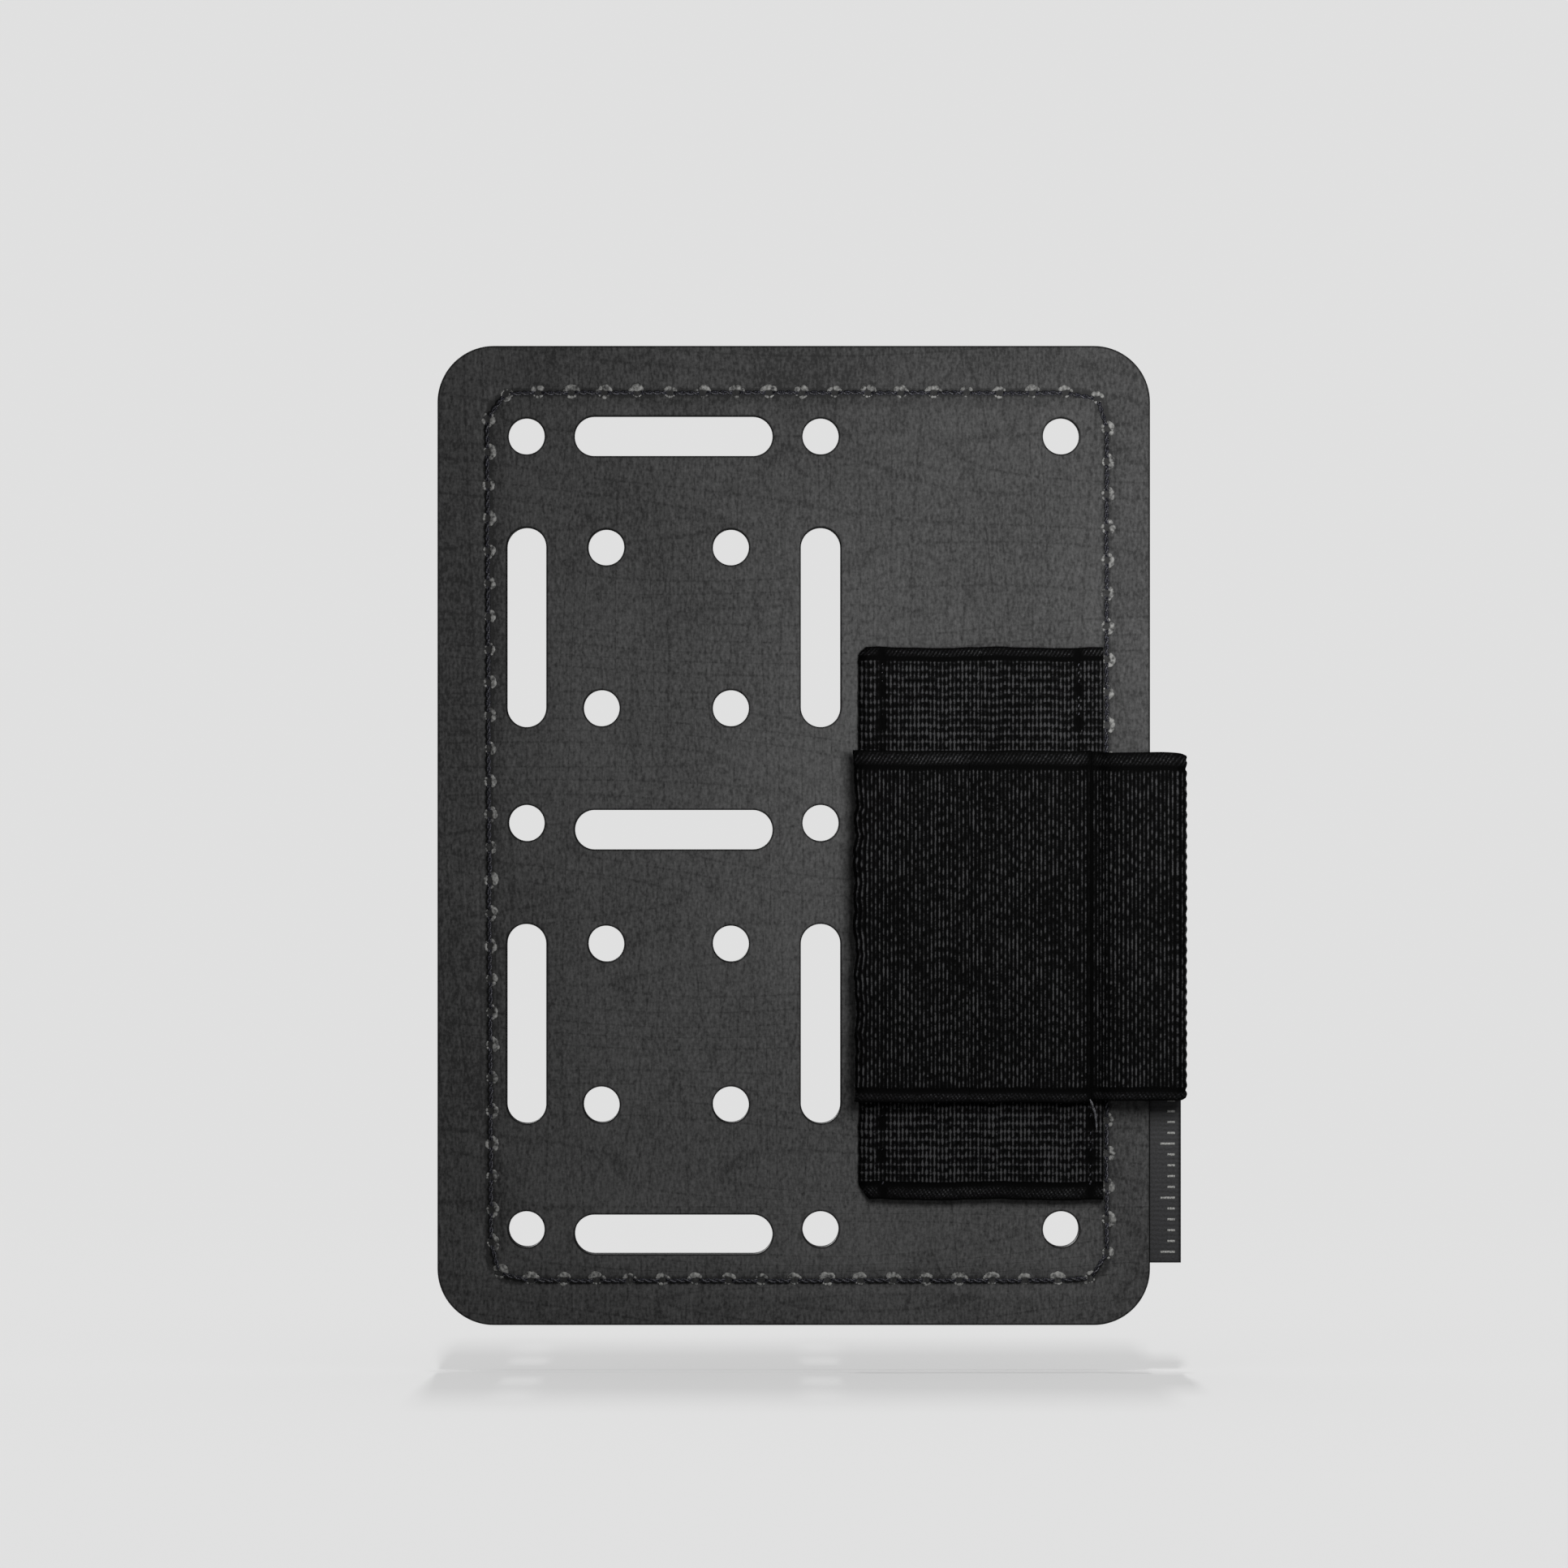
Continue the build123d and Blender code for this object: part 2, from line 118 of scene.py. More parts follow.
def add(tree, kind, inputs=None, stops=(), **settings):
    """Adds a node with its settings and links.

    inputs maps a socket's name or number to a value, to an output of another node, or to a
    node, which stands for its first output. stops are the positions and sRGB hex colours of
    a colour ramp."""
    node = tree.nodes.new("ShaderNode" + kind)
    for name, value in settings.items():
        setattr(node, name, value)
    for number, (position, hex_code) in enumerate(stops):
        bands = node.color_ramp.elements
        band = bands[number] if number < 2 else bands.new(position)
        band.position, band.color = position, linear(hex_code)
    for socket, value in (inputs or {}).items():
        if isinstance(value, bpy.types.Node):
            value = value.outputs[0]
        if isinstance(value, bpy.types.NodeSocket):
            tree.links.new(value, node.inputs[socket])
        else:
            node.inputs[socket].default_value = value
    return node


def new_material(name, **shader):
    """An empty principled material; returns it with its tree and its shader node."""
    material = bpy.data.materials.new(name)
    material.use_nodes = True
    principled = material.node_tree.nodes["Principled BSDF"]
    for socket, value in shader.items():
        principled.inputs[socket.replace("_", " ")].default_value = value
    return material, material.node_tree, principled


def to_mesh(name, bm):
    """Writes a bmesh out as a new mesh and frees it."""
    mesh = bpy.data.meshes.new(name)
    bm.to_mesh(mesh)
    bm.free()
    return mesh


def put(name, mesh, *materials, smooth=True):
    """Links a finished mesh as an object at the origin."""
    thing = bpy.data.objects.new(name, mesh)
    scene.collection.objects.link(thing)
    for material in materials:
        mesh.materials.append(material)
    if smooth:
        mesh.shade_smooth()
    print(name, len(mesh.polygons), "faces")
    return thing


# %% [markdown]
# ## Studio cove
#
# The wallet hangs just above a pale floor that curves up into a low wall all round, so
# every side has the same clean background. Close to the wallet the floor takes shadow like
# paper. Further out it glows by itself, as an evenly lit cove does.

# %% Studio cove
FLOOR = -49.55 * MM
COVE_R, COVE_CURVE, COVE_TOP = 2.6, 0.5, 0.75

bm = bmesh.new()
corners = ((0, 0, FLOOR), (COVE_R, 0, FLOOR), (COVE_R, 0, COVE_TOP))
profile = [bm.verts.new(place) for place in corners]
for pair in zip(profile, profile[1:]):
    bm.edges.new(pair)
bmesh.ops.bevel(
    bm, geom=[profile[1]], offset=COVE_CURVE, segments=16, profile=0.5, affect="VERTICES", material=-1,
)
bmesh.ops.spin(
    bm, geom=bm.edges[:] + bm.verts[:], cent=(0, 0, 0), axis=(0, 0, 1),
    angle=math.tau, steps=96, use_merge=True,
)
bmesh.ops.remove_doubles(bm, verts=bm.verts[:], dist=1e-6)
bmesh.ops.recalc_face_normals(bm, faces=bm.faces[:])
bmesh.ops.reverse_faces(bm, faces=bm.faces[:])
cove_mesh = to_mesh("studio_cove", bm)

PAPER_LEVEL = 0.747  # linear brightness of the finished background
PAPER_BODY, STRIP_SHARE = 0.40, 0.46  # grey of the paper near the wallet, and how much light its strips give
paper, tree, shader = new_material("matt studio paper", Roughness=1.0)
paper.cycles.emission_sampling = "NONE"
shader.inputs["Specular IOR Level"].default_value = 0.0
shader.inputs["Emission Color"].default_value = (1, 1, 1, 1)
where = add(tree, "TexCoord").outputs["Object"]
distance = add(tree, "VectorMath", {0: where}, operation="LENGTH").outputs["Value"]
reach = {"Value": distance, "From Min": 0.12, "From Max": 0.42}
far = add(tree, "MapRange", reach, interpolation_type="SMOOTHSTEP").outputs["Result"]
body = add(tree, "MixRGB", {"Fac": far, "Color1": (PAPER_BODY,) * 3 + (1,), "Color2": (0, 0, 0, 1)})
glow = add(tree, "MapRange", {"Value": far, "To Min": PAPER_LEVEL - STRIP_SHARE, "To Max": PAPER_LEVEL})
tree.links.new(body.outputs["Color"], shader.inputs["Base Color"])
tree.links.new(glow.outputs["Result"], shader.inputs["Emission Strength"])
cove = put("studio_cove", cove_mesh, paper)

# %% [markdown]
# ## Light
#
# Three narrow strips hang overhead: in front, above and behind. Each throws a short shadow
# of the upright panel on the floor, and together they make one soft band below it. A small
# softbox close to the right half makes that side of the cloth the lightest. Each lamp and
# the glowing cove are linked to the floor or to the wallet, as black flags do in a studio,
# so the pale room doesn't wash out the black cloth.


# %% Light
lit_by_strips = bpy.data.collections.new("floor_only")
lit_by_strips.objects.link(cove)
lit_by_boxes = bpy.data.collections.new("wallet_only")


def softbox(name, place, aim, size, watts, receivers):
    """A rectangular lamp that lights only the things in one collection."""
    lamp = bpy.data.lights.new(name, "AREA")
    lamp.shape, lamp.size, lamp.size_y, lamp.energy = "RECTANGLE", size[0], size[1], watts
    thing = bpy.data.objects.new(name, lamp)
    scene.collection.objects.link(thing)
    thing.location = place
    thing.rotation_euler = (Vector(aim) - Vector(place)).to_track_quat("-Z", "Y").to_euler()
    thing.visible_camera = False
    thing.light_linking.receiver_collection = receivers


cove.light_linking.receiver_collection = lit_by_strips
STRIP_HEIGHT, STRIP_WIDTH, STRIP_OUT = 5.0, 0.14, 2.38
strips = (
    ("front_strip", -STRIP_OUT, 1.8, 108.0),
    ("top_strip", 0, 0.2, 52.0),
    ("back_strip", STRIP_OUT, 1.8, 108.0),
)
for name, y, length, watts in strips:
    # the aim is a hair off the middle, so the lamp straight above still knows which way is up
    softbox(name, (0, y, STRIP_HEIGHT), (0, 0.0001, 0), (STRIP_WIDTH, length), watts, lit_by_strips)
softbox("key_softbox", (0.042, -0.097, 0.024), (0.042, 0, 0.024), (0.05, 0.05), 0.145, lit_by_boxes)
softbox("fill_softbox", (-0.2, -1.0, 0.2), (0, 0, 0), (0.8, 0.8), 0.7, lit_by_boxes)
softbox("back_softbox", (-0.35, 0.7, 0.35), (0, 0, 0), (0.4, 0.4), 9.0, lit_by_boxes)

world = bpy.data.worlds.new("studio air")
scene.world = world
world.use_nodes = True
world.node_tree.nodes["Background"].inputs["Color"].default_value = (1, 1, 1, 1)
world.node_tree.nodes["Background"].inputs["Strength"].default_value = 0.3

# %% [markdown]
# ## Coated cloth
#
# The panel is polyester cloth with a thin rubber coat, pressed smooth. The eye sees a dark
# neutral grey with a faint upright grain, a few thin lines where the weave shows through,
# and black cut edges. Stretched noises give the grain, and the contour lines of two very
# long ones give the weave lines. The dent along the seam is worked out from the distance to
# the seam's rounded rectangle, because the thread pulls the coat down there. The dent is a
# bump and also painted shade in the colour, a thin painted shadow runs beside the thread,
# and the grey is painted paler towards the lower right as painted light.

# %% Panel sizes
low, high = (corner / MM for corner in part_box("front_panel"))
FACE = low.y
seam_low, seam_high = (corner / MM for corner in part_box("perimeter_needle_thread"))
# half a thread and the stitches' legs are taken off the box, so these are the seam's middle line
SEAM_CENTRE = ((seam_low.x + seam_high.x) / 2 + 0.1, (seam_low.z + seam_high.z) / 2)
SEAM_HALF = ((seam_high.x - seam_low.x) / 2 - 0.3, (seam_high.z - seam_low.z) / 2 - 0.2)
SEAM_ROUND = 2.4
print("panel face at y", round(FACE, 2), "seam half sizes", SEAM_HALF)


# %% Coated cloth material
def coated_cloth(name, dark, light):
    """Rubber-coated polyester cloth; dark and light are the two ends of its grey."""
    material, tree, shader = new_material(name, Roughness=0.62)
    shader.inputs["Specular IOR Level"].default_value = 0.12
    place = add(tree, "TexCoord").outputs["Object"]

    def stretched(across, along, detail, seed):
        """Noise whose cells are across mm wide and deep and along mm tall."""
        scale = (1 / (across * MM), 1 / (across * MM), 1 / (along * MM))
        cells = add(tree, "Mapping", {"Vector": place, "Scale": scale, "Location": (seed, 0, seed)})
        return add(tree, "TexNoise", {"Vector": cells, "Scale": 1.0, "Detail": detail, "Roughness": 0.6})

    def between(start, end, to_start=0.0, to_end=1.0):
        """The four range sockets of a Map Range node."""
        return {"From Min": start, "From Max": end, "To Min": to_start, "To Max": to_end}

    def thin_lines(field, gap, width):
        """1 on the field's contour lines, which lie gap apart in value, and 0 between them."""
        near = add(tree, "Math", {0: field, 1: gap}, operation="PINGPONG")
        return add(tree, "MapRange", {"Value": near, **between(0.0, width, 1.0, 0.0)})

    # fibres are drawn a little coarser than the real ones, whose 0.1 mm wouldn't show
    grain = stretched(0.24, 0.62, 3.0, 3.1)
    speck = stretched(0.30, 0.26, 2.0, 9.7)
    tone = stretched(17.0, 24.0, 2.0, 5.3)
    warp_lines = thin_lines(stretched(6.0, 70.0, 0.0, 1.9), 0.05, 0.008)
    weft_lines = thin_lines(stretched(60.0, 7.0, 0.0, 6.4), 0.05, 0.010)
    slubs = add(tree, "Math", {0: warp_lines, 1: weft_lines}, operation="MAXIMUM")

    # signed distance in mm to the seam line, a rounded rectangle: positive outside it
    to_centre = {"Scale": (1 / MM, 0, 1 / MM), "Location": (-SEAM_CENTRE[0], 0, -SEAM_CENTRE[1])}
    flat = add(tree, "Mapping", {"Vector": place, **to_centre})
    folded = add(tree, "VectorMath", {0: flat}, operation="ABSOLUTE")
    straight = (SEAM_HALF[0] - SEAM_ROUND, 0, SEAM_HALF[1] - SEAM_ROUND)
    past = add(tree, "VectorMath", {0: folded, 1: straight}, operation="SUBTRACT")
    corner = add(tree, "VectorMath", {0: past, 1: (0, 0, 0)}, operation="MAXIMUM")
    round_part = add(tree, "VectorMath", {0: corner}, operation="LENGTH").outputs["Value"]
    apart = add(tree, "SeparateXYZ", {0: past}).outputs
    inside = add(tree, "Math", {0: apart["X"], 1: apart["Z"]}, operation="MAXIMUM")
    inside = add(tree, "Math", {0: inside, 1: 0.0}, operation="MINIMUM")
    total = add(tree, "Math", {0: round_part, 1: inside}, operation="ADD")
    offset = add(tree, "Math", {0: total, 1: SEAM_ROUND}, operation="SUBTRACT")
    off_line = add(tree, "Math", {0: offset}, operation="ABSOLUTE")
    dent_and_shade_range = {"Value": off_line, **between(0.1, 1.6, 1.0, 0.0)}
    dent_and_shade = add(tree, "MapRange", dent_and_shade_range, interpolation_type="SMOOTHSTEP")
    # painted shadow: a thin dark line just beside the thread, along the whole seam
    groove_shade = add(tree, "MapRange", {"Value": off_line, **between(0.24, 0.5, 1.0, 0.0)})
    margin = add(tree, "MapRange", {"Value": offset, **between(0.0, 1.5)})

    # grey level: tone over the whole panel, grain and specks, then what darkens it: the weave lines, the painted
    # shade of the dent, the painted shadow beside the thread and the margin outside the seam
    level = add(tree, "MapRange", {"Value": tone, **between(0.3, 0.7, 0.36, 0.64)})
    for noise, ranges in ((grain, (0.25, 0.75, -0.44, 0.44)), (speck, (0.3, 0.7, -0.24, 0.24))):
        spread = add(tree, "MapRange", {"Value": noise, **between(*ranges)})
        level = add(tree, "Math", {0: level, 1: spread}, operation="ADD")
    for pattern, strength in ((slubs, -0.2), (dent_and_shade, -0.12), (groove_shade, -0.4), (margin, -0.12)):
        level = add(tree, "Math", {0: pattern, 1: strength, 2: level}, operation="MULTIPLY_ADD")
    # painted light: the cloth's grey is made paler towards the lower right, as if more light fell there
    painted_light_slope = add(tree, "VectorMath", {0: place, 1: (0.9, 0, -0.6)}, operation="DOT_PRODUCT")
    painted_light_level = {0: level, 1: painted_light_slope.outputs["Value"]}
    level = add(tree, "Math", painted_light_level, operation="ADD", use_clamp=True)
    face_colour = add(tree, "MixRGB", {"Fac": level, "Color1": linear(dark), "Color2": linear(light)})

    # the cut edge shows the black core: any part whose normal doesn't face front or back
    normal = add(tree, "SeparateXYZ", {0: add(tree, "NewGeometry").outputs["Normal"]})
    turned = add(tree, "Math", {0: normal.outputs["Y"]}, operation="ABSOLUTE")
    on_face = add(tree, "MapRange", {"Value": turned, **between(0.93, 0.995)})
    colour = add(tree, "MixRGB", {"Fac": on_face, "Color1": linear("050505"), "Color2": face_colour})
    tree.links.new(colour.outputs["Color"], shader.inputs["Base Color"])

    # relief: the grain and slubs, then the dent that the thread pulls into the coat
    slub_height = add(tree, "Math", {0: slubs, 1: 0.5}, operation="MULTIPLY")
    relief = add(tree, "Math", {0: grain, 1: 0.35, 2: slub_height}, operation="MULTIPLY_ADD")
    fine = add(tree, "Bump", {"Height": relief, "Strength": 0.35, "Distance": 0.06 * MM})
    sunk = add(tree, "Math", {0: dent_and_shade, 1: -1.0}, operation="MULTIPLY")
    dented = {"Height": sunk, "Strength": 0.8, "Distance": 0.18 * MM, "Normal": fine}
    tree.links.new(add(tree, "Bump", dented).outputs["Normal"], shader.inputs["Normal"])
    return material


cloth = coated_cloth("rubber coated polyester cloth", "1e1e1e", "454545")
print("cloth nodes:", len(cloth.node_tree.nodes))

# %% [markdown]
# ## Front sheet
#
# A knife or laser cuts the sheet, which leaves an edge that is crisp but not razor sharp.
# A flat curve suits it: one outline and every cut-out as closed lines, filled between, with
# a thickness and a very small rounding. The curve becomes a mesh and is stood upright.

# %% Front sheet
EDGE_ROUND = 0.17
HOLE, SLOT_WIDTH, SLOT_ACROSS, SLOT_UP = 3.34, 3.65, 18.3, 18.45
CORNER_ROUND, ARC_STEPS = 5.2, 20
column_x = (-24.7, 2.48, 24.7)
holes = [(x, z) for x in column_x for z in (36.9, -36.4)]
holes += [(x, 1.15) for x in column_x[:2]]
holes += [(x, z) for z in (26.645, -10.005) for x in (-17.34, -5.82)]
holes += [(x, z) for z in (11.775, -24.875) for x in (-17.77, -5.82)]
slots_across = [(-11.11, z) for z in (36.9, 0.53, -36.87)]
slots_up = [(x, z) for x in column_x[:2] for z in (19.245, -17.405)]


def rounded_outline(x, z, width, height, radius):
    """Points of a rounded rectangle, in mm, round its middle."""
    points = []
    for quarter, (sx, sz) in enumerate(((1, 1), (-1, 1), (-1, -1), (1, -1))):
        middle_x, middle_z = x + sx * (width / 2 - radius), z + sz * (height / 2 - radius)
        for step in range(ARC_STEPS + 1):
            angle = math.radians(90 * (quarter + step / ARC_STEPS))
            points.append((middle_x + radius * math.cos(angle), middle_z + radius * math.sin(angle)))
    return points


# the radii stop 0.001 mm short of half a width, so no two points of an outline meet
outlines = [rounded_outline(0, 0, high.x - low.x, high.z - low.z, CORNER_ROUND)]
outlines += [rounded_outline(x, z, HOLE, HOLE, HOLE / 2 - 0.001) for x, z in holes]
outlines += [rounded_outline(x, z, SLOT_ACROSS, SLOT_WIDTH, SLOT_WIDTH / 2 - 0.001) for x, z in slots_across]
outlines += [rounded_outline(x, z, SLOT_WIDTH, SLOT_UP, SLOT_WIDTH / 2 - 0.001) for x, z in slots_up]
print("closed lines to cut:", len(outlines))

curve = bpy.data.curves.new("front_sheet_outline", "CURVE")
curve.dimensions, curve.fill_mode = "2D", "BOTH"
for outline in outlines:
    spline = curve.splines.new("POLY")
    spline.points.add(len(outline) - 1)
    spline.points.foreach_set("co", [c for x, z in outline for c in (x * MM, z * MM, 0, 1)])
    spline.use_cyclic_u = True
curve.extrude = ((high.y - low.y) / 2 - EDGE_ROUND) * MM
curve.bevel_depth, curve.bevel_resolution, curve.offset = EDGE_ROUND * MM, 2, -EDGE_ROUND * MM

drawn = bpy.data.objects.new("front_sheet_outline", curve)
scene.collection.objects.link(drawn)
depsgraph = bpy.context.evaluated_depsgraph_get()
sheet_mesh = bpy.data.meshes.new_from_object(drawn.evaluated_get(depsgraph))
bpy.data.objects.remove(drawn)
stand_up = Matrix.Rotation(math.radians(90), 4, "X")
sheet_mesh.transform(Matrix.Translation((0, (low.y + high.y) / 2 * MM, 0)) @ stand_up)

bm = bmesh.new()
bm.from_mesh(sheet_mesh)
bmesh.ops.remove_doubles(bm, verts=bm.verts[:], dist=0.001 * MM)
bmesh.ops.recalc_face_normals(bm, faces=bm.faces[:])
for face in bm.faces:
    face.smooth = abs(face.normal.y) < 0.95
bm.to_mesh(sheet_mesh)
bm.free()
sheet_mesh.materials.clear()
front_sheet = put("front_sheet", sheet_mesh, cloth, smooth=False)
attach(front_sheet, "panel")
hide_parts("front_panel")

# %% [markdown]
# ## Back sheets
#
# The liner and the card pocket are plain flat sheets, so the CAD model's own shapes are kept
# and only take the same cloth. The share is what the holes and slots leave of each sheet.

# %% Back sheets
for name, length, share in (("liner_panel", 0.0905, 0.87), ("card_pocket", 0.07825, 0.89)):
    node = frame["nodes"][name]
    node.data.materials.clear()
    node.data.materials.append(cloth)
print("front sheet, liner and pocket share", cloth.name)

# %% [markdown]
# ## Sewing thread
#
# Bonded nylon thread is two plies twisted together. Each stitch comes up through a needle
# hole, lies on the cloth and dives into the next hole. One stitch is made by spinning a
# small ring along a screw line, once for each ply, then bending its ends down. Copies of it
# are laid where the CAD model has its stitches.

# %% Thread material
thread, tree, shader = new_material("bonded nylon thread", Roughness=0.42)
shader.inputs["Specular IOR Level"].default_value = 0.35
place = add(tree, "TexCoord").outputs["Object"]
fibre = add(tree, "TexNoise", {"Vector": place, "Scale": 1 / (0.09 * MM), "Detail": 2.0}).outputs["Fac"]
hairs = add(tree, "ValToRGB", {"Fac": fibre}, stops=((0.46, "040406"), (0.70, "4a4a53")))
tree.links.new(hairs.outputs["Color"], shader.inputs["Base Color"])
fuzz = add(tree, "Bump", {"Height": fibre, "Strength": 0.5, "Distance": 0.03 * MM})
tree.links.new(fuzz.outputs["Normal"], shader.inputs["Normal"])

# %% One twisted stitch
STITCH = 3.05
PLY_R, PLY_OUT = 0.114, 0.108
TURNS, STEPS = 2.0, 20
SINK_REACH, THREAD_LIFT, THREAD_DIVE = 0.34, 0.2, 0.62


def near_ends(x):
    """1 at either end of a stitch, falling to 0 a few tenths of a millimetre in."""
    return sum(math.exp(-((gap / SINK_REACH) ** 2)) for gap in (x, STITCH - x))


def twisted_stitch():
    """One stitch along +X, lying on the plane y = 0 with its top towards -Y, in mm."""
    bm = bmesh.new()
    for ply in (0, 1):
        ring = bmesh.ops.create_circle(bm, segments=6, radius=PLY_R, cap_ends=True)["verts"]
        across = Matrix.Rotation(math.radians(90), 3, "Y")
        bmesh.ops.rotate(bm, verts=ring, cent=(0, 0, 0), matrix=across)
        bmesh.ops.translate(bm, verts=ring, vec=(0, PLY_OUT * (1 - 2 * ply), 0))
        cap = [f for f in bm.faces if all(v in ring for v in f.verts)]
        bmesh.ops.spin(
            bm, geom=cap, cent=(0, 0, 0), axis=(1, 0, 0), dvec=(STITCH / STEPS, 0, 0),
            angle=math.tau * TURNS, steps=STEPS, use_duplicate=False,
        )
    for vert in bm.verts:
        ends = near_ends(vert.co.x)
        vert.co.y += THREAD_DIVE * ends - THREAD_LIFT
        vert.co.z *= 1 - 0.25 * ends
    bmesh.ops.recalc_face_normals(bm, faces=bm.faces[:])
    return to_mesh("twisted_stitch", bm)


stitch_mesh = twisted_stitch()
print("one stitch:", len(stitch_mesh.polygons), "faces")


# %% Read the stitches from the CAD thread nodes
band_low, band_high = (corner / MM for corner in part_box("outer_band_wall"))


def stitches_of(node_name, side):
    """Start, end and cloth height of each stitch, in mm. side is -1 for the front and 1 for the back.

    Each joined-up island of the node's mesh is one stitch, with a leg down at its start."""
    bm = bmesh.new()
    bm.from_mesh(frame["nodes"][node_name].data)
    bmesh.ops.remove_doubles(bm, verts=bm.verts[:], dist=1e-7)
    seen, found = set(), []
    for seed in bm.verts:
        if seed in seen:
            continue
        seen.add(seed)
        island = [seed]
        for vert in island:
            for other in (link.other_vert(vert) for link in vert.link_edges):
                if other not in seen:
                    seen.add(other)
                    island.append(other)
        points = [v.co / MM for v in island]
        top = max(side * p.y for p in points)
        leg = [p for p in points if side * p.y < top - 0.36]
        start = sum(leg, Vector()) / len(leg)
        start.y = 0
        tip = max((Vector((p.x, 0, p.z)) for p in points), key=lambda p: (p - start).length)
        if (tip - start).length > 1.0:
            reach = (tip - start).length + 0.35
            found.append((start, start + (tip - start).normalized() * reach, side * (top - 0.3)))
    bm.free()
    return found


def sew(name, node_name, side, sunk=None):
    """Lays a twisted stitch over every stitch of a CAD thread node and stands for it.

    sunk gives the heights of stitches pulled into elastic: on the wide band, and elsewhere."""
    bm = bmesh.new()
    for start, end, height in stitches_of(node_name, side):
        if sunk:
            on_band = band_low.z < min(start.z, end.z) and max(start.z, end.z) < band_high.z
            height = sunk[0] if on_band else sunk[1]
        run = end - start
        turn = Matrix.Rotation(-math.atan2(run.z, run.x), 4, "Y")
        flip = Matrix.Scale(-side, 4, Vector((0, 1, 0)))
        stretch = Matrix.Scale(run.length / STITCH, 4, Vector((1, 0, 0)))
        jitter = Matrix.Translation((0, 0, random.uniform(-0.03, 0.03)))
        place = Matrix.Translation((start.x, height, start.z)) @ turn @ flip @ jitter @ stretch
        before = len(bm.verts)
        bm.from_mesh(stitch_mesh)
        bm.verts.ensure_lookup_table()
        bmesh.ops.transform(bm, matrix=Matrix.Scale(MM, 4) @ place, verts=bm.verts[before:])
    bmesh.ops.recalc_face_normals(bm, faces=bm.faces[:])
    piece = put(name, to_mesh(name, bm), thread)
    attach(piece, "panel")
    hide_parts(node_name)
    return piece


sew("side_seam_front_thread", "perimeter_needle_thread", -1)
sew("side_seam_back_thread", "perimeter_bobbin_thread", 1)
sew("left_elastic_seam_thread", "left_seam_needle_thread", -1, sunk=(-4.62, -3.86))
sew("right_elastic_seam_thread", "right_seam_needle_thread", -1, sunk=(-4.58, -3.86))
for name in ("left_seam_bobbin_thread", "right_seam_bobbin_thread"):
    frame["nodes"][name].data.materials.clear()
    frame["nodes"][name].data.materials.append(thread)

# %% [markdown]
# ## Puckers at the needle holes
#
# The needle pushes the coat up into a lip round each hole. The lips are painted pale grey,
# a painted highlight of the light glinting on them. Five squashed balls in an arc make a lip,
# half sunk in the cloth, with a smaller arc facing it. The ball is made once and copied,
# which is quicker than making each anew.

# %% Pucker material
lip_highlight_paint, tree, shader = new_material("lip coat with painted highlight", Roughness=0.7)
shader.inputs["Specular IOR Level"].default_value = 0.2
place = add(tree, "TexCoord").outputs["Object"]
glint_speckle = add(tree, "TexNoise", {"Vector": place, "Scale": 1 / (0.35 * MM), "Detail": 2.0}).outputs["Fac"]
# painted highlight: the lips' pale grey stands in for light glinting on the raised coat
painted_glint = add(tree, "ValToRGB", {"Fac": glint_speckle}, stops=((0.34, "2c2c2c"), (0.66, "7c7c7a")))
tree.links.new(painted_glint.outputs["Color"], shader.inputs["Base Color"])

# %% Puckers
bm = bmesh.new()
bmesh.ops.create_icosphere(bm, subdivisions=2, radius=1.0)
ball_mesh = to_mesh("lip_ball", bm)

SEAM_LEFT, SEAM_BOTTOM = SEAM_CENTRE[0] - SEAM_HALF[0], SEAM_CENTRE[1] - SEAM_HALF[1]
middle = Vector((SEAM_CENTRE[0], 0, SEAM_CENTRE[1]))
bm = bmesh.new()
for start, end, height in stitches_of("perimeter_needle_thread", -1):
    along = (end - start).normalized()
    outward = Vector((along.z, 0, -along.x))
    if outward.dot(start - middle) < 0:
        outward.negate()
    # on the left and the bottom rows the larger lip is the inner one
    if start.x < SEAM_LEFT + 1.5 or start.z < SEAM_BOTTOM + 1.0:
        outward.negate()
    for side, size in ((1, random.uniform(0.95, 1.45)), (-1, random.uniform(0.35, 0.75))):
        for lobe in (-1.0, -0.5, 0.0, 0.5, 1.0):
            swing = lobe * 0.95 + random.uniform(-0.3, 0.3)
            grown = size * random.uniform(0.7, 1.15) * (1 - 0.35 * abs(lobe))
            shape = Matrix.Diagonal((0.32 * grown, 0.13 * grown, 0.25 * grown, 1))
            reach = outward * side * math.cos(swing) + along * math.sin(swing) * 1.3
            lean = Matrix.Rotation(-math.atan2(reach.x, -reach.z), 4, "Y")
            spot = start + reach * (0.26 + 0.19 * size)
            spot.y = height
            before = len(bm.verts)
            bm.from_mesh(ball_mesh)
            bm.verts.ensure_lookup_table()
            placed = Matrix.Scale(MM, 4) @ Matrix.Translation(spot) @ lean @ shape
            bmesh.ops.transform(bm, matrix=placed, verts=bm.verts[before:])
lip_mesh = to_mesh("needle_hole_lips", bm)
lips = put("needle_hole_lips", lip_mesh, lip_highlight_paint)
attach(lips, "panel")
